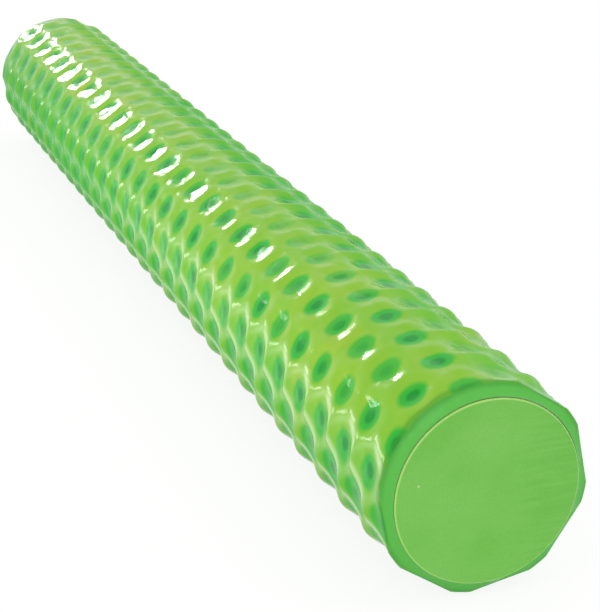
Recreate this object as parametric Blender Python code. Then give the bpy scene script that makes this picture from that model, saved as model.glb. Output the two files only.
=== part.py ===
import math

import bmesh
import bpy

# A thick foam pool noodle, dipped in soft vinyl, with a bonded disc on each end.
# Metres. The log lies along Y on the plane Z = 0, with its front end towards -Y.

overall_length = 1.168
ridge_radius = 0.0715
dimple_depth = 0.0060
skin_thickness = 0.0012

# The ends, from the disc's face back to the first row of dimples.
disc_proud = 0.0012
disc_edge_round = 0.0008
shoulder_drop = 0.0036
shoulder_width = 0.0050
rim_round = 0.0018

# Room between pieces that touch on the real noodle.
fit_gap = 0.0003

# Dimples stand in rows along the log, and each row starts half a step after the one beside it.
dimples_along = 28
dimples_round = 8
bowl_power = 1.5
disc_edge_segments = 3

# The surface grid has four columns for each dimple in a ring and four rings for each one in a row.
column_count = 4 * dimples_round
ring_count = 4 * dimples_along
column_angle = 2 * math.pi / column_count
corner_inset_share = 0.6
longest_round_share = 0.5

lip_radius = ridge_radius - dimple_depth - shoulder_width
disc_radius = lip_radius - fit_gap
disc_thickness = disc_proud + skin_thickness
rim_setback = disc_proud + shoulder_drop
body_setback = rim_setback + rim_round
body_length = overall_length - 2 * body_setback
ring_step = body_length / ring_count

# The lowest knobs stand one column to each side of the bottom line.
axis_height = ridge_radius * math.cos(column_angle)

vinyl_green = (0.21, 0.56, 0.09)
disc_green = (0.22, 0.55, 0.13)
foam_white = (0.80, 0.82, 0.76)
vinyl_roughness = 0.22
disc_roughness = 0.32
foam_roughness = 0.9
smooth_angle = math.radians(40)

fine_fan = ((-1, -1), (0, -1), (1, -1), (1, 0), (1, 1), (0, 1), (-1, 1), (-1, 0))
coarse_fan = ((-1, -1), (1, -1), (1, 1), (-1, 1))


def clear_scene():
    for old_object in list(bpy.data.objects):
        bpy.data.objects.remove(old_object, do_unlink=True)


def make_material(name, colour, roughness):
    material = bpy.data.materials.new(name)
    material.use_nodes = True
    shader = material.node_tree.nodes["Principled BSDF"]
    shader.inputs["Base Color"].default_value = (*colour, 1)
    shader.inputs["Roughness"].default_value = roughness
    shader.inputs["Metallic"].default_value = 0
    return material


def finish_node(name, mesh_data, material):
    bmesh.ops.recalc_face_normals(mesh_data, faces=mesh_data.faces)
    mesh = bpy.data.meshes.new(name)
    mesh_data.to_mesh(mesh)
    mesh_data.free()
    mesh.materials.append(material)
    mesh.shade_smooth()
    mesh.set_sharp_from_angle(angle=smooth_angle)
    node = bpy.data.objects.new(name, mesh)
    bpy.context.collection.objects.link(node)
    return node


def dimple_share(column, ring):
    """1 in the middle of a dimple, 0 on a knob between dimples."""
    wave = -math.cos(math.pi * column / 2) * math.cos(math.pi * ring / 2)
    return ((1 + wave) / 2) ** bowl_power


def outside_radius(column, ring):
    return ridge_radius - dimple_depth * dimple_share(column, ring)


def place(column, radius, along):
    """A point of the log, from its column, its distance from the axis and its place along Y."""
    angle = column_angle * (column + 1)
    return (radius * math.sin(angle), along, axis_height + radius * math.cos(angle))


def body_surface(mesh_data, inset, fan):
    """The dimpled wall drawn in by inset, as fans of triangles, with its first and last rings."""
    corners = {}

    def corner(column, ring):
        key = (column % column_count, ring)
        if key not in corners:
            along = ring * ring_step - body_length / 2
            if ring == 0:
                along += inset * corner_inset_share
            if ring == ring_count:
                along -= inset * corner_inset_share
            radius = outside_radius(column, ring) - inset
            corners[key] = mesh_data.verts.new(place(column, radius, along))
        return corners[key]

    for ring in range(1, ring_count, 2):
        for column in range(1, column_count, 2):
            hub = corner(column, ring)
            rim = [corner(column + across, ring + along) for across, along in fan]
            for this, following in zip(rim, rim[1:] + rim[:1]):
                mesh_data.faces.new((hub, this, following))
    end_rings = []
    for ring in (0, ring_count):
        end_rings.append([corners[key] for key in sorted(corners) if key[1] == ring])
    return end_rings


def make_ring(mesh_data, radii, setbacks, end):
    """A ring round one end: end is -1 at the front and 1 at the rear."""
    points = []
    for column, (radius, setback) in enumerate(zip(radii, setbacks)):
        points.append(mesh_data.verts.new(place(column, radius, end * (overall_length / 2 - setback))))
    return points


def lip_ring(mesh_data, depth, end):
    """The edge of the round opening that the disc fills, depth behind the skin's lip."""
    return make_ring(mesh_data, [lip_radius] * column_count, [disc_proud + depth] * column_count, end)


def shoulder_rings(mesh_data, end):
    """The sloping shoulder from the lip out to the scalloped rim, with the rim's rounded edge."""
    rounds = []
    for column in range(column_count):
        rim = outside_radius(column, 0)
        slope = math.hypot(rim - lip_radius, shoulder_drop)
        back_share = min(rim_round / slope, longest_round_share)
        start = (rim - back_share * (rim - lip_radius), rim_setback - back_share * shoulder_drop)
        middle = ((start[0] + 3 * rim) / 4, (start[1] + 2 * rim_setback + body_setback) / 4)
        rounds.append((start, middle))
    rings = [lip_ring(mesh_data, 0, end)]
    for step in (0, 1):
        radii = [points[step][0] for points in rounds]
        setbacks = [points[step][1] for points in rounds]
        rings.append(make_ring(mesh_data, radii, setbacks, end))
    return rings


def join_rings(mesh_data, first, second):
    """Quads between two rings with the same number of points."""
    count = len(first)
    for index in range(count):
        following = (index + 1) % count
        mesh_data.faces.new((first[index], first[following], second[following], second[index]))


def join_to_coarse(mesh_data, ring, coarse):
    """Triangles between a full ring and one that has every second column."""
    count = len(ring)
    for index, this in enumerate(coarse):
        following = coarse[(index + 1) % len(coarse)]
        near, middle, far = (ring[(2 * index + step) % count] for step in range(3))
        mesh_data.faces.new((near, middle, this))
        mesh_data.faces.new((middle, far, following))
        mesh_data.faces.new((middle, following, this))


def make_skin(material):
    """The dipped vinyl coat: dimpled outside and in, open where the discs sit."""
    mesh_data = bmesh.new()
    outer_ends = body_surface(mesh_data, 0, fine_fan)
    inner_ends = body_surface(mesh_data, skin_thickness, coarse_fan)
    for end, outer, inner in zip((-1, 1), outer_ends, inner_ends):
        rings = shoulder_rings(mesh_data, end) + [outer]
        for first, second in zip(rings, rings[1:]):
            join_rings(mesh_data, first, second)
        inner_lip = lip_ring(mesh_data, skin_thickness, end)
        join_rings(mesh_data, rings[0], inner_lip)
        join_to_coarse(mesh_data, inner_lip, inner)
    return finish_node("vinyl_skin", mesh_data, material)


def make_core(material):
    """The solid foam log, which fills the skin and stops flat behind each disc."""
    mesh_data = bmesh.new()
    inset = skin_thickness + fit_gap
    for end, wall in zip((-1, 1), body_surface(mesh_data, inset, coarse_fan)):
        seat = lip_ring(mesh_data, inset, end)
        join_to_coarse(mesh_data, seat, wall)
        mesh_data.faces.new(seat)
    return finish_node("foam_core", mesh_data, material)


def make_disc(name, end, material):
    """A flat round disc with a rounded front edge, inside the skin's lip."""
    mesh_data = bmesh.new()
    face_along = end * overall_length / 2
    points = [mesh_data.verts.new(place(column, disc_radius, face_along)) for column in range(column_count)]
    front = mesh_data.faces.new(points)
    grown = bmesh.ops.extrude_face_region(mesh_data, geom=[front], use_keep_orig=True)
    back = [item for item in grown["geom"] if isinstance(item, bmesh.types.BMVert)]
    bmesh.ops.translate(mesh_data, vec=(0, -end * disc_thickness, 0), verts=back)
    bmesh.ops.bevel(
        mesh_data,
        geom=list(front.edges),
        offset=disc_edge_round,
        segments=disc_edge_segments,
        profile=0.5,
        affect="EDGES",
    )
    return finish_node(name, mesh_data, material)


clear_scene()
vinyl = make_material("soft_vinyl", vinyl_green, vinyl_roughness)
disc_vinyl = make_material("disc_vinyl", disc_green, disc_roughness)
foam = make_material("closed_cell_foam", foam_white, foam_roughness)
make_core(foam)
make_skin(vinyl)
make_disc("front_end_disc", -1, disc_vinyl)
make_disc("rear_end_disc", 1, disc_vinyl)
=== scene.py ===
# A thick foam pool noodle, dipped in glossy soft vinyl, with a bonded disc on each end.
# Metres. The log lies along Y on the floor, and its front end looks towards -Y.
import math

import bpy
from mathutils import Matrix, Vector


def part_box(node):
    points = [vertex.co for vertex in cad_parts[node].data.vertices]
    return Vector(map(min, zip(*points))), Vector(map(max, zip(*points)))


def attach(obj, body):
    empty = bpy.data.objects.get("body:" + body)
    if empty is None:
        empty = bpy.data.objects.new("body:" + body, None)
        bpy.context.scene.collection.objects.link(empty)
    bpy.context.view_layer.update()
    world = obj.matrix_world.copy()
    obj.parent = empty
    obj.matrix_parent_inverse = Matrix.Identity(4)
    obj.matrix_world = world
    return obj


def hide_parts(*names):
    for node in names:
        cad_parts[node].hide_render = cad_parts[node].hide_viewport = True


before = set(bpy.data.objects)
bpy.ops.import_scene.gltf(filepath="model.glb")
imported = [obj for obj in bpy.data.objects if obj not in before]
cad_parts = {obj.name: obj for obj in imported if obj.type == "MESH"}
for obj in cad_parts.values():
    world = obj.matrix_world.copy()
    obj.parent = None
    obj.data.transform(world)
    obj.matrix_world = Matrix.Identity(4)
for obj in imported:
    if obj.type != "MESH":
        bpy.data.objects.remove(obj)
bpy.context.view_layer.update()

# What the frame says of the log: its axis, its ends and how round it is
skinLow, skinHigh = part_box("vinyl_skin")
discLow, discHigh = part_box("front_end_disc")
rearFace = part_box("rear_end_disc")[1].y

dimplesRound = 8      # in one ring, with as many again half a step further along
dimplesAlong = 28
rowStart = 0.25      # a row of bowls runs this part of a step to the left of the top
axisHeight = (discLow.z + discHigh.z) / 2
ridgeRadius = (skinHigh.x - skinLow.x) / 2 / math.cos(math.pi / (2 * dimplesRound))
discRadius = (discHigh.x - discLow.x) / 2
frontFace = discLow.y
middleY = (frontFace + rearFace) / 2
halfLength = (rearFace - frontFace) / 2
coatWall = 0.0012      # the vinyl's thickness
fitGap = 0.0003        # between the coat and what it touches
lipRadius = discRadius + fitGap
samePlace = 0.00001    # points that are closer than this are one point
print("frame read, ridge radius", round(ridgeRadius, 4), "axis height", round(axisHeight, 4))


# Picking and finishing, as by hand

def doneEditing():
    bpy.ops.object.mode_set(mode="OBJECT")


def putDownAll():
    if bpy.context.object and bpy.context.object.mode != "OBJECT":
        doneEditing()
    bpy.ops.object.select_all(action="DESELECT")


def takeUp(piece):
    putDownAll()
    piece.select_set(True)
    bpy.context.view_layer.objects.active = piece


def settle(piece):      # the object goes to the origin and its place into its mesh
    takeUp(piece)
    bpy.ops.object.transform_apply(location=True, rotation=True, scale=True)


def everyPoint(place):
    return True


def pickPoints(piece, wanted, kind="VERT"):      # leaves the piece in edit mode, with those points picked
    takeUp(piece)
    bpy.ops.object.mode_set(mode="EDIT")
    bpy.ops.mesh.select_mode(type="VERT")
    bpy.ops.mesh.select_all(action="DESELECT")
    doneEditing()
    for point in piece.data.vertices:
        point.select = wanted(point.co)
    bpy.ops.object.mode_set(mode="EDIT")
    if kind != "VERT":
        bpy.ops.mesh.select_mode(type=kind)


def useModifier(piece, kind, settings):
    takeUp(piece)
    modifier = piece.modifiers.new(kind.title(), kind)
    for name, value in settings.items():
        setattr(modifier, name, value)
    bpy.ops.object.modifier_apply(modifier=modifier.name)


def finishShape(piece, angle):      # faces outwards, and smooth where they meet at less than the angle
    pickPoints(piece, everyPoint)
    bpy.ops.mesh.normals_make_consistent(inside=False)
    doneEditing()
    takeUp(piece)
    bpy.ops.object.shade_smooth_by_angle(angle=math.radians(angle))


# The dimpled wall: one tile of flat sheet, repeated, pushed in and out, and rolled into a tube

relief = {      # how far in, reach and fall, where neighbouring bowls meet in crests
    "bowls": (0.0018, 0.0252, "INVERSE_SQUARE"),
    "knobs": (-0.0007, 0.0152, "SMOOTH"),      # between two bowls of a row
    "longRidges": (-0.0018, 0.0139, "SMOOTH"),      # between the rows of the upper side
    "sideBowls": (0.0027, 0.0252, "INVERSE_SQUARE"),      # the other rows are pushed in deeper
    "sideKnobs": (-0.0012, 0.0150, "SMOOTH"),
    "upperTurn": -34.0,      # degrees round from the top, towards +X
    "upperReach": 40.0,
    "endSetback": 0.0066,      # the body stops this far behind the discs' faces
    "sheetSink": 0.0010,      # the flat sheet lies this far under the crests
}
sheetRadius = ridgeRadius - relief["sheetSink"]
tileWidth = 2 * math.pi * sheetRadius / dimplesRound
bodyLength = 2 * (halfLength - relief["endSetback"])
tileLength = bodyLength / dimplesAlong
tileTurn = 360 / dimplesRound      # degrees that one tile covers


def spotOf(place, cells):      # which cell of its tile a point is at, round the log and along it
    across = round((place.z / tileWidth + dimplesRound) * cells) % cells
    along = round((place.y / tileLength + dimplesAlong) * cells) % cells
    return across, along


def isUpper(place):      # on the flat sheet, z = 0 is the side that will face -X
    turn = place.z / tileWidth * tileTurn - 90 - relief["upperTurn"]
    return abs((turn + 180) % 360 - 180) < relief["upperReach"]


def isInner(place):      # the knobs stop short of the rims, whose corners are plain
    return abs(place.y) < bodyLength / 2 - tileLength / 4


def pushSheet(piece, name, wanted):
    far, reach, fall = relief[name]
    pickPoints(piece, wanted)
    bpy.ops.transform.translate(
        value=(far, 0, 0),
        use_proportional_edit=True,
        proportional_edit_falloff=fall,
        proportional_size=reach,
    )
    doneEditing()


def pushPattern(sheet, cells):
    quarter, half = cells // 4, cells // 2

    def isBowl(place):
        return spotOf(place, cells) in ((quarter, half), (3 * quarter, 0))

    def isKnob(place):
        return spotOf(place, cells) in ((quarter, 0), (3 * quarter, half)) and isInner(place)

    def isLongRidge(place):
        return spotOf(place, cells)[0] in (0, half) and isInner(place) and isUpper(place)

    pushSheet(sheet, "bowls", isBowl)
    pushSheet(sheet, "knobs", isKnob)
    pushSheet(sheet, "longRidges", isLongRidge)
    pushSheet(sheet, "sideBowls", lambda place: isBowl(place) and not isUpper(place))
    pushSheet(sheet, "sideKnobs", lambda place: isKnob(place) and not isUpper(place))


def repeatTile(sheet, count, step):
    useModifier(sheet, "ARRAY", {
        "count": count,
        "use_relative_offset": False,
        "use_constant_offset": True,
        "constant_offset_displace": step,
        "use_merge_vertices": True,
        "merge_threshold": samePlace,
    })


def rollWall(name, cells, inset):
    putDownAll()
    bpy.ops.mesh.primitive_grid_add(
        x_subdivisions=cells,
        y_subdivisions=cells,
        size=1,
        rotation=(0, -math.pi / 2, 0),
    )
    wall = bpy.context.object
    wall.name = name
    wall.scale = (tileWidth, tileLength, 1)      # the tile's own x runs round the log
    bpy.ops.object.transform_apply(location=False, rotation=True, scale=True)
    repeatTile(wall, dimplesRound + 2, (0, 0, tileWidth))      # one tile to spare on each side
    repeatTile(wall, dimplesAlong, (0, tileLength, 0))
    bpy.ops.object.origin_set(type="ORIGIN_GEOMETRY", center="BOUNDS")
    wall.location = (0, 0, 0)

    pushPattern(wall, cells)
    halfRound = tileWidth * dimplesRound / 2
    pickPoints(wall, lambda place: abs(place.z) > halfRound + tileWidth / cells / 2)
    bpy.ops.mesh.delete(type="VERT")
    pickPoints(wall, everyPoint)
    bpy.ops.transform.translate(value=(inset, 0, 0))
    doneEditing()

    bend = {"deform_method": "BEND", "deform_axis": "Y", "angle": 2 * math.pi}
    useModifier(wall, "SIMPLE_DEFORM", bend)
    pickPoints(wall, everyPoint)
    bpy.ops.mesh.remove_doubles(threshold=samePlace)
    doneEditing()
    wall.location = (-sheetRadius, middleY, axisHeight)
    settle(wall)
    return wall


# The ends: each open edge is drawn out in steps to a round opening

shoulder = {
    "stepsBack": (0.0061, 0.0055, 0.0050, 0.0045, 0.0036, 0.0024, 0.0012),      # behind the disc's face
    "drawnIn": (0.0002, 0.0008, 0.0017, 0.0028, 0.0045, 0.0065, None),      # None is the round lip
    "rounded": (0.0, 0.0, 0.05, 0.12, 0.30, 0.55, 1.0),      # how far each step is turned into a circle
}


def fromAxisOf(place):
    return math.hypot(place.x, place.z - axisHeight)


def drawEnd(wall, end, inset):      # returns where along Y the drawn edge ends up
    faceY = frontFace if end < 0 else rearFace
    along = faceY - end * relief["endSetback"]
    pickPoints(wall, lambda place: abs(place.y - along) < samePlace, "EDGE")
    firstMean = None
    for back, drawn, rounded in zip(shoulder["stepsBack"], shoulder["drawnIn"], shoulder["rounded"]):
        target = faceY - end * (back + inset)
        bpy.ops.mesh.extrude_region_move(TRANSFORM_OT_translate={"value": (0, target - along, 0)})
        along = target
        if rounded:
            bpy.ops.transform.tosphere(value=rounded)
        doneEditing()
        ring = [fromAxisOf(point.co) for point in wall.data.vertices if point.select]
        mean = sum(ring) / len(ring)
        if firstMean is None:
            firstMean = mean
        wantedMean = lipRadius if drawn is None else firstMean - drawn
        factor = wantedMean / mean
        bpy.ops.object.mode_set(mode="EDIT")
        bpy.ops.transform.resize(value=(factor, 1, factor), center_override=(0, along, axisHeight))
    doneEditing()
    return along


def isOnLips(place, faceY):      # the coat's two round edges at one end, outside and inside
    between = shoulder["stepsBack"][-1] + coatWall / 2
    offBetween = abs(abs(place.y - faceY) - between)
    return offBetween < 0.6 * coatWall and fromAxisOf(place) < lipRadius + samePlace


coat = {"cellsOutside": 16, "cellsInside": 8, "smoothBelow": 60}      # cells along a tile's side
foamLog = {"cells": 8, "smoothBelow": 50}


def makeSkin():
    outside = rollWall("vinylSkin", coat["cellsOutside"], 0)
    inside = rollWall("skinInside", coat["cellsInside"], coatWall)
    for end in (-1, 1):
        drawEnd(outside, end, 0)
        drawEnd(inside, end, coatWall)
    takeUp(outside)
    inside.select_set(True)
    bpy.ops.object.join()
    for faceY in (frontFace, rearFace):
        pickPoints(outside, lambda place: isOnLips(place, faceY), "EDGE")
        bpy.ops.mesh.bridge_edge_loops()
        doneEditing()
    finishShape(outside, coat["smoothBelow"])
    return outside


def makeCore():
    core = rollWall("foamCore", foamLog["cells"], coatWall + fitGap)
    for end in (-1, 1):
        along = drawEnd(core, end, coatWall + fitGap)
        pickPoints(core, lambda place: abs(place.y - along) < samePlace, "EDGE")
        bpy.ops.mesh.edge_face_add()
        doneEditing()
    finishShape(core, foamLog["smoothBelow"])
    return core


vinylSkin = makeSkin()
print("skin dipped:", len(vinylSkin.data.polygons), "faces")
foamCore = makeCore()
print("foam core made:", len(foamCore.data.polygons), "faces")


# The end discs: a round blank with a rounded edge and rings of faces up to its centre

disc = {
    "sides": 128,
    "edgeRound": 0.0008,
    "edgeSegments": 3,
    "faceRim": 0.0012,
    "rings": 9,
    "ringStep": 0.0062,
    "smoothBelow": 40,
}


def makeDisc(name, faceY, end):
    putDownAll()
    thickness = discHigh.y - discLow.y
    bpy.ops.mesh.primitive_cylinder_add(
        vertices=disc["sides"],
        radius=discRadius,
        depth=thickness,
        location=(0, faceY - end * thickness / 2, axisHeight),
        rotation=(math.pi / 2, 0, 0),
    )
    blank = bpy.context.object
    blank.name = name
    settle(blank)

    def isOnFace(place):
        return abs(place.y - faceY) < samePlace

    def isOnEdge(place):
        return isOnFace(place) and fromAxisOf(place) > discRadius - 10 * samePlace

    pickPoints(blank, isOnFace, "FACE")
    bpy.ops.mesh.inset(thickness=disc["faceRim"])
    for ring in range(disc["rings"]):
        bpy.ops.mesh.inset(thickness=disc["ringStep"])
    bpy.ops.mesh.poke()
    doneEditing()
    pickPoints(blank, isOnEdge, "EDGE")
    bpy.ops.mesh.bevel(
        offset=disc["edgeRound"],
        segments=disc["edgeSegments"],
        profile=0.5,
        affect="EDGES",
    )
    doneEditing()
    finishShape(blank, disc["smoothBelow"])
    return blank


frontDisc = makeDisc("frontDisc", frontFace, -1)
rearDisc = makeDisc("rearDisc", rearFace, 1)
print("discs made:", len(frontDisc.data.polygons), "faces each")


# Finishes

class Wire:      # one output of a node, so that sums on it read as sums
    def __init__(self, board, socket):
        self.board = board
        self.socket = socket

    def maths(self, operation, *values):
        return self.board.node("ShaderNodeMath", {"operation": operation}, dict(enumerate(values)))

    def __add__(self, other):
        return self.maths("ADD", self, other)

    def __radd__(self, other):
        return self.maths("ADD", other, self)

    def __sub__(self, other):
        return self.maths("SUBTRACT", self, other)

    def __rsub__(self, other):
        return self.maths("SUBTRACT", other, self)

    def __mul__(self, other):
        return self.maths("MULTIPLY", self, other)

    def __rmul__(self, other):
        return self.maths("MULTIPLY", other, self)

    def __truediv__(self, other):
        return self.maths("DIVIDE", self, other)

    def __pow__(self, other):
        return self.maths("POWER", self, other)

    def __abs__(self):
        return self.maths("ABSOLUTE", self)

    def least(self, other):
        return self.maths("MINIMUM", self, other)

    def most(self, other):
        return self.maths("MAXIMUM", self, other)

    def wrapped(self):      # to within half a step of the nearest whole number
        return self.maths("WRAP", self, 0.5, -0.5)


class Board:      # the node tree of one material or world
    def __init__(self, tree):
        self.tree = tree
        tree.nodes.clear()

    def node(self, kind, settings=None, sockets=None, output=0):
        made = self.tree.nodes.new(kind)
        for name, value in (settings or {}).items():
            setattr(made, name, value)
        for name, value in (sockets or {}).items():
            if isinstance(value, Wire):
                self.tree.links.new(value.socket, made.inputs[name])
            else:
                made.inputs[name].default_value = value
        return Wire(self, made.outputs[output] if len(made.outputs) else None)

    def place(self):
        return self.node("ShaderNodeTexCoord", output="Object")

    def axes(self, vector):
        split = self.node("ShaderNodeSeparateXYZ", None, {0: vector})
        return [Wire(self, output) for output in split.socket.node.outputs]

    def stretch(self, place, scale):
        return self.node("ShaderNodeMapping", None, {"Vector": place, "Scale": scale})

    def ramp(self, value, low, high, start=0.0, end=1.0):
        settings = {"interpolation_type": "SMOOTHSTEP"}
        return self.node("ShaderNodeMapRange", settings, {"Value": value, 1: low, 2: high, 3: start, 4: end})

    def noise(self, place, scale, detail=2.0):
        return self.node("ShaderNodeTexNoise", None, {"Vector": place, "Scale": scale, "Detail": detail})

    def blend(self, factor, first, second):
        return self.node("ShaderNodeMix", {"data_type": "RGBA"}, {0: factor, 6: first, 7: second}, output=2)

    def bump(self, height, strength, distance):
        sockets = {"Height": height, "Strength": strength, "Distance": distance}
        return self.node("ShaderNodeBump", None, sockets)

    def surface(self, colour, roughness, normal, shine):
        return self.node("ShaderNodeBsdfPrincipled", None, {
            "Base Color": colour,
            "Roughness": roughness,
            "Normal": normal,
            "Specular IOR Level": shine,
        })

    def show(self, kind, shader):
        self.node(kind, None, {"Surface": shader})


def shown(red, green, blue):      # a colour as a screen shows it, 0 to 255
    def straight(value):
        value = value / 255
        return value / 12.92 if value <= 0.04045 else ((value + 0.055) / 1.055) ** 2.4
    return (straight(red), straight(green), straight(blue), 1)


def newMaterial(name):
    material = bpy.data.materials.new(name)
    material.use_nodes = True
    return material, Board(material.node_tree)


# Turns are in degrees towards +X, from the stripe near the top where the spots are faint.
# A pair says where a change starts and where it is complete.
vinylFinish = {
    "ridge": shown(147, 200, 54),
    "ridgeDeep": shown(106, 195, 56),
    "ochre": shown(178, 198, 60),
    "bowl": shown(48, 184, 54),
    "bowlCentre": shown(0, 150, 44),
    # painted highlight along the crests of the near left
    "paleHighlight": shown(208, 238, 176),
    # painted shade in the crease where the body meets the shoulder, and on the shoulder's outer corner
    "rimShade": shown(62, 152, 52),
    "shoulder": shown(98, 193, 82),
    "spotRadius": 0.0104,
    "spotBlur": 0.0024,
    "centreRadius": 0.0050,
    "centreBlur": 0.0020,
    "wanderScale": 60,
    "wander": 0.003,      # how uneven the spots are
    "sideGrowth": 0.0034,      # the spots are larger in the deeper bowls, partly as painted shade on their walls
    # painted shade: the spots on the far left are drawn larger
    "farShadeGrowth": 0.0014,
    "topTurn": 6.0,      # from the nearest row of bowls to the middle of that stripe
    "topWidth": (17.0, 5.0),
    "topStart": (0.14, 0.30),      # from the front face
    "topFade": 0.7,
    "faintTurn": 26.0,      # the spots are faint here too, near the front end
    "faintWidth": (26, 14),
    "faintEnd": (0.21, 0.13),
    "faintFade": 0.6,
    "deepTurn": (20, 60),      # off the middle of the upper side
    "largeTurn": (40, 64),
    "leftTurn": (-50, -64),
    # painted shade: the far left is drawn greener and darker
    "farLeftTurn": (-32, -54),
    "farLeftStart": (-0.30, 0.35),      # from the middle of the log
    "farLeftShadeShare": 0.45,
    "rightTurn": (0, 18),
    "rightStart": (-0.40, -0.15),
    "rightEnd": (0.36, 0.14),
    "rightShare": 0.40,
    "crestWidth": (0.0100, 0.0010),
    "crestClimb": (0.00004, -0.00009, 0.22, 1.0),      # faint on the crests that run the other way
    "crestShare": 0.72,
    "rimReach": (0.0120, 0.0072),      # from the end faces
    "rimShadeShare": 0.55,
    "shoulderReach": (0.0062, 0.0048),
    "cornerReach": (0.0040, 0.0020),      # out from the lip, and in from the crests
    "cornerShadeShare": 0.7,
    "cloudScale": 14,
    "cloudEdge": (0.35, 0.65),
    "cloudShare": 0.35,
    "deepShare": 0.6,
    "ochreScale": 19,
    "ochreEdge": (0.56, 0.70),
    "ochreShare": 0.35,
    "clearScale": 26,      # some spots are clearer than others
    "clearEdge": (0.34, 0.58),
    "clearSpot": 0.15,
    "clearCentre": 0.5,
    "grainScale": 260,
    "grainEdge": (0.3, 0.7),
    "grainHeight": 0.03,
    "swellScale": 75,
    "swellHeight": 0.5,
    "beadScale": (88, 50, 88),      # the dip dries in low beads
    "beadBlend": 0.35,
    "beadTurn": (-60, -48),
    "beadHeight": 1.5,
    "bumpDepth": 0.0009,
    "roughness": (0.12, 0.19),      # least and most
    "shine": 0.10,
}


def dippedVinyl():
    material, board = newMaterial("dippedVinyl")
    look = vinylFinish
    place = board.place()
    x, y, z = board.axes(place)
    fromAxis = z - axisHeight
    fromFront = y - frontFace
    fromMiddle = y - middleY
    fromEnd = halfLength - abs(fromMiddle)

    # The lattice: how far off the dimples' centres are, and which way a crest climbs
    tile = x.maths("ARCTAN2", x, fromAxis) * (dimplesRound / (2 * math.pi)) + rowStart
    row = (fromFront - relief["endSetback"]) / tileLength
    toSpots = []
    for shift in (0, 0.5):
        across = (tile + shift).wrapped() * tileWidth
        along = (row + shift).wrapped() * tileLength
        toSpots.append((across * across + along * along) ** 0.5)
    climb = across * along      # below 0 on the crests that climb towards the far end
    wander = (board.noise(place, look["wanderScale"]) - 0.5) * look["wander"]
    away = toSpots[0].least(toSpots[1]) + wander

    # Where on the log: the faint stripe, the faint patch, the deeper sides
    turned = tile * tileTurn - look["topTurn"]
    onTop = board.ramp(abs(turned), *look["topWidth"]) * board.ramp(fromFront, *look["topStart"])
    offFaint = abs(turned - look["faintTurn"])
    onFaint = board.ramp(offFaint, *look["faintWidth"]) * board.ramp(fromFront, *look["faintEnd"])
    offUpper = abs((tile - rowStart) * tileTurn - relief["upperTurn"])
    onLeft = board.ramp(turned, *look["leftTurn"])
    farLeftShade = board.ramp(turned, *look["farLeftTurn"]) * board.ramp(fromMiddle, *look["farLeftStart"])
    onRight = board.ramp(turned, *look["rightTurn"]) * board.ramp(fromMiddle, *look["rightStart"])
    onRight = onRight * board.ramp(fromMiddle, *look["rightEnd"])

    # The coat between the spots
    cloud = board.ramp(board.noise(place, look["cloudScale"], 3), *look["cloudEdge"])
    deep = board.ramp(offUpper, *look["deepTurn"])
    deepened = cloud * look["cloudShare"] + deep * look["deepShare"]
    colour = board.blend(deepened, look["ridge"], look["ridgeDeep"])
    warm = board.ramp(board.noise(place, look["ochreScale"]), *look["ochreEdge"])
    colour = board.blend(warm * look["ochreShare"], colour, look["ochre"])
    # Painted shade: the far left is drawn greener and darker; the right of the top, midway along, is greener
    # too
    greener = farLeftShade * look["farLeftShadeShare"] + onRight * look["rightShare"]
    colour = board.blend(greener, colour, look["bowl"])

    # The spots, each a bowl with a darker centre
    clear = board.ramp(board.noise(place, look["clearScale"], 1), *look["clearEdge"])
    strength = (1 - onTop * look["topFade"]) * (1 - onFaint * look["faintFade"])
    strength = strength * (clear * look["clearSpot"] + (1 - look["clearSpot"]))
    centreStrength = strength * (clear * look["clearCentre"] + (1 - look["clearCentre"]))
    growth = board.ramp(offUpper, *look["largeTurn"]) * look["sideGrowth"] + farLeftShade * look["farShadeGrowth"]
    spotEdge = (look["spotRadius"] + look["spotBlur"], look["spotRadius"] - look["spotBlur"])
    centreEdge = (look["centreRadius"] + look["centreBlur"], look["centreRadius"] - look["centreBlur"])
    spot = board.ramp(away - growth, *spotEdge) * strength
    centre = board.ramp(away, *centreEdge) * centreStrength
    colour = board.blend(spot, colour, look["bowl"])
    colour = board.blend(centre, colour, look["bowlCentre"])

    # A painted highlight: pale reflections along the crests of the near left
    crestHighlight = board.ramp(abs(toSpots[0] - toSpots[1] + wander), *look["crestWidth"])
    crestHighlight = crestHighlight * board.ramp(climb, *look["crestClimb"]) * onLeft * (1 - farLeftShade)
    colour = board.blend(crestHighlight * look["crestShare"], colour, look["paleHighlight"])

    # The rims and shoulders, with painted shade along the rim's crease and on the shoulder's outer corner
    onRim = board.ramp(fromEnd, *look["rimReach"])
    onShoulder = board.ramp(fromEnd, *look["shoulderReach"])
    colour = board.blend(onRim * look["rimShadeShare"], colour, look["rimShade"])
    colour = board.blend(onShoulder, colour, look["shoulder"])
    radius = (x * x + fromAxis * fromAxis) ** 0.5
    offLip, offCrest = look["cornerReach"]
    cornerShade = onShoulder * board.ramp(radius, lipRadius + offLip, ridgeRadius - offCrest)
    colour = board.blend(cornerShade * look["cornerShadeShare"], colour, look["rimShade"])

    # The gloss: fine grain, a slow swell, and low beads on the upper side
    grain = board.noise(place, look["grainScale"])
    swell = board.noise(place, look["swellScale"], 0)
    beads = board.node("ShaderNodeTexVoronoi", {"feature": "SMOOTH_F1"}, {
        "Vector": board.stretch(place, look["beadScale"]),
        "Scale": 1.0,
        "Smoothness": look["beadBlend"],
    })
    beaded = board.ramp(turned, *look["beadTurn"]) * look["beadHeight"]
    height = grain * look["grainHeight"] + swell * look["swellHeight"] - beads * beads * beaded
    normal = board.bump(height, 1.0, look["bumpDepth"])
    roughness = board.ramp(grain, *look["grainEdge"], *look["roughness"])
    board.show("ShaderNodeOutputMaterial", board.surface(colour, roughness, normal, look["shine"]))
    return material


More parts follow.
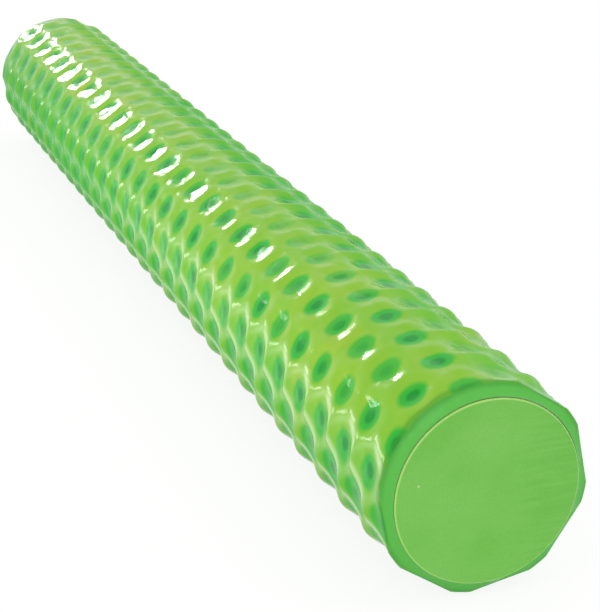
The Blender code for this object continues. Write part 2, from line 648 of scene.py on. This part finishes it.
discFinish = {
    "face": shown(130, 203, 94),
    "faceDeep": shown(119, 197, 82),
    # painted highlight along the disc's rounded edge
    "edge": shown(176, 226, 122),
    # darker tone: painted shade in the wrinkles' creases, and the grain's own flecks
    "creaseShadeAndGrain": shown(88, 176, 62),
    "glint": shown(206, 240, 178),
    "edgeReach": (0.0011, 0.0005),      # in from the disc's edge
    "cloudScale": 22,
    "cloudEdge": (0.3, 0.7),
    "wrinkleScale": (22, 22, 330),
    "wrinkleStart": (-0.02, 0.045),      # across the disc, so that they show on the right
    "wrinkleHeight": 0.5,
    "creaseEdge": (0.30, 0.62),
    "creaseShare": 0.22,
    "grainScale": 700,
    "grainEdge": (0.35, 0.7),
    "grainShare": 0.12,
    "grainHeight": 0.08,
    "glintScale": 42,
    "glintEdge": (0.060, 0.035),
    "fewScale": 17,      # where painted glints may be
    "fewEdge": (0.60, 0.66),
    "softScale": 30,
    "softEdge": (0.3, 0.7),
    "bumpStrength": 0.5,
    "bumpDepth": 0.0006,
    "roughness": (0.29, 0.39),      # least and most
    "shine": 0.15,
}


def discVinyl():
    material, board = newMaterial("discVinyl")
    look = discFinish
    place = board.place()
    x, y, z = board.axes(place)
    fromAxis = z - axisHeight
    inwards = discRadius - (x * x + fromAxis * fromAxis) ** 0.5
    cloud = board.ramp(board.noise(place, look["cloudScale"], 3), *look["cloudEdge"])
    colour = board.blend(cloud, look["face"], look["faceDeep"])
    # Painted highlight: a pale ring just inside the disc's edge
    colour = board.blend(board.ramp(inwards, *look["edgeReach"]), colour, look["edge"])

    wrinkles = board.noise(board.stretch(place, look["wrinkleScale"]), 1.0, 3)
    # Painted shade along the wrinkles' creases on the right; the grain below takes the same darker colour
    wrinkleShade = board.ramp(wrinkles * board.ramp(x, *look["wrinkleStart"]), *look["creaseEdge"])
    colour = board.blend(wrinkleShade * look["creaseShare"], colour, look["creaseShadeAndGrain"])
    grain = board.noise(place, look["grainScale"], 1)
    grained = board.ramp(grain, *look["grainEdge"]) * look["grainShare"]
    colour = board.blend(grained, colour, look["creaseShadeAndGrain"])
    # Painted glints: a few small pale dots
    glintCells = board.node("ShaderNodeTexVoronoi", None, {"Vector": place, "Scale": look["glintScale"]})
    few = board.ramp(board.noise(place, look["fewScale"], 0), *look["fewEdge"])
    colour = board.blend(board.ramp(glintCells, *look["glintEdge"]) * few, colour, look["glint"])

    soft = board.noise(place, look["softScale"])
    height = wrinkles * look["wrinkleHeight"] + soft + grain * look["grainHeight"]
    normal = board.bump(height, look["bumpStrength"], look["bumpDepth"])
    roughness = board.ramp(soft, *look["softEdge"], *look["roughness"])
    board.show("ShaderNodeOutputMaterial", board.surface(colour, roughness, normal, look["shine"]))
    return material


foamFinish = {
    "cell": shown(232, 234, 228),
    "cellWall": shown(214, 218, 210),
    "cellScale": 900,
    "cellEdge": (0.1, 0.7),
    "bumpStrength": 0.5,
    "bumpDepth": 0.0004,
    "roughness": 0.9,
    "shine": 0.5,
}


def coreFoam():
    material, board = newMaterial("closedCellFoam")
    look = foamFinish
    cells = board.node("ShaderNodeTexVoronoi", None, {"Vector": board.place(), "Scale": look["cellScale"]})
    colour = board.blend(board.ramp(cells, *look["cellEdge"]), look["cell"], look["cellWall"])
    normal = board.bump(cells, look["bumpStrength"], look["bumpDepth"])
    board.show("ShaderNodeOutputMaterial", board.surface(colour, look["roughness"], normal, look["shine"]))
    return material


def dress(piece, material, node):
    piece.data.materials.clear()
    piece.data.materials.append(material)
    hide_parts(node)
    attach(piece, "root")


discMaterial = discVinyl()
dress(vinylSkin, dippedVinyl(), "vinyl_skin")
dress(foamCore, coreFoam(), "foam_core")
dress(frontDisc, discMaterial, "front_end_disc")
dress(rearDisc, discMaterial, "rear_end_disc")
print("pieces dressed")


# Floor, lights and camera

studio = {
    "floorSize": 30.0,
    "floorPaint": (0.84, 0.84, 0.84, 1),
    "floorDim": (0.58, 0.58, 0.58, 1),      # less light comes back from the floor on the right
    "dimStart": (0.05, 0.30),
    "floorGlow": 0.84,      # the share of the white that is seen straight
    "glowLevel": 1.05,
    "worldLevel": 0.80,
    "white": (1, 1, 1, 1),
}


def seenStraight(board):      # 1 where the camera, a gloss or glass shows the background
    camera, gloss, glass = [
        board.node("ShaderNodeLightPath", output=ray)
        for ray in ("Is Camera Ray", "Is Glossy Ray", "Is Transmission Ray")
    ]
    return camera.most(gloss).most(glass)


def makeFloor():
    putDownAll()
    bpy.ops.mesh.primitive_plane_add(size=studio["floorSize"], location=(0, 0, 0))
    floor = bpy.context.object
    floor.name = "floor"
    material, board = newMaterial("whiteFloor")
    seen = seenStraight(board)
    x = board.axes(board.place())[0]
    dim = board.ramp(x, *studio["dimStart"]) * (1 - seen)
    colour = board.blend(dim, studio["floorPaint"], studio["floorDim"])
    paint = board.node("ShaderNodeBsdfDiffuse", None, {"Color": colour})
    glow = board.node("ShaderNodeEmission", None, {"Color": studio["white"], "Strength": studio["glowLevel"]})
    mixed = board.node("ShaderNodeMixShader", None, {0: seen * studio["floorGlow"], 1: paint, 2: glow})
    board.show("ShaderNodeOutputMaterial", mixed)
    floor.data.materials.append(material)


def makeWorld():
    world = bpy.data.worlds.new("studio")
    bpy.context.scene.world = world
    world.use_nodes = True
    board = Board(world.node_tree)
    level = seenStraight(board) * (1 - studio["worldLevel"]) + studio["worldLevel"]
    sky = board.node("ShaderNodeBackground", None, {"Color": studio["white"], "Strength": level})
    board.show("ShaderNodeOutputWorld", sky)


softboxes = {      # place, what it looks at, width, height and power
    "topLight": ((1.2, -0.4, 2.4), (0, 0, 0), 2.6, 3.0, 9),
    "frontLight": ((-1.0, -4.0, 1.6), (0, 0, 0.1), 2.0, 1.6, 22),
    "farLight": ((-0.20, 4.07, 0.87), (0, 0, 0.1), 0.44, 0.54, 20),      # the row of highlights
    "floorCard": ((-0.38, -0.10, 0.004), (-0.38, -0.10, 1.0), 0.30, 1.0, 1.6),      # the net on the left
    "behindLight": ((-2.8, 3.1, 0.19), (0, 0, 0.1), 1.2, 0.34, 16),
}


def makeSoftbox(name, place, target, width, height, power):
    putDownAll()
    bpy.ops.object.light_add(type="AREA", location=place)
    lamp = bpy.context.object
    lamp.name = name
    lamp.data.shape = "RECTANGLE"
    lamp.data.size = width
    lamp.data.size_y = height
    lamp.data.energy = power
    lamp.rotation_euler = (Vector(target) - Vector(place)).to_track_quat("-Z", "Y").to_euler()
    return lamp


view = {
    "place": (-0.4299, -1.4642, 0.5460),
    "azimuth": 19.486,      # degrees round from +Y towards +X
    "elevation": 20.163,      # degrees that it looks down
    "roll": 0.178,
    "lens": 106.70,
    "sensor": 36,
    "clip": (0.05, 100),
}


def makeCamera():
    azimuth, elevation, roll = [math.radians(view[name]) for name in ("azimuth", "elevation", "roll")]
    level = math.cos(elevation)
    forward = Vector((math.sin(azimuth) * level, math.cos(azimuth) * level, -math.sin(elevation)))
    right = Vector((math.cos(azimuth), -math.sin(azimuth), 0))
    down = forward.cross(right)
    rolledRight = right * math.cos(roll) + down * math.sin(roll)
    rolledDown = down * math.cos(roll) - right * math.sin(roll)
    turn = Matrix((rolledRight, -rolledDown, -forward)).transposed()
    bpy.ops.object.camera_add()
    camera = bpy.context.object
    camera.name = "camera"
    camera.matrix_world = Matrix.Translation(view["place"]) @ turn.to_4x4()
    camera.data.lens = view["lens"]
    camera.data.sensor_width = view["sensor"]
    camera.data.clip_start, camera.data.clip_end = view["clip"]
    bpy.context.scene.camera = camera


makeFloor()
makeWorld()
for name, settings in softboxes.items():
    lamp = makeSoftbox(name, *settings)
    lamp.visible_camera = name != "floorCard"      # it lies on the floor, so it is hidden
makeCamera()
bpy.context.scene.view_settings.view_transform = "Standard"
putDownAll()
print("studio set")
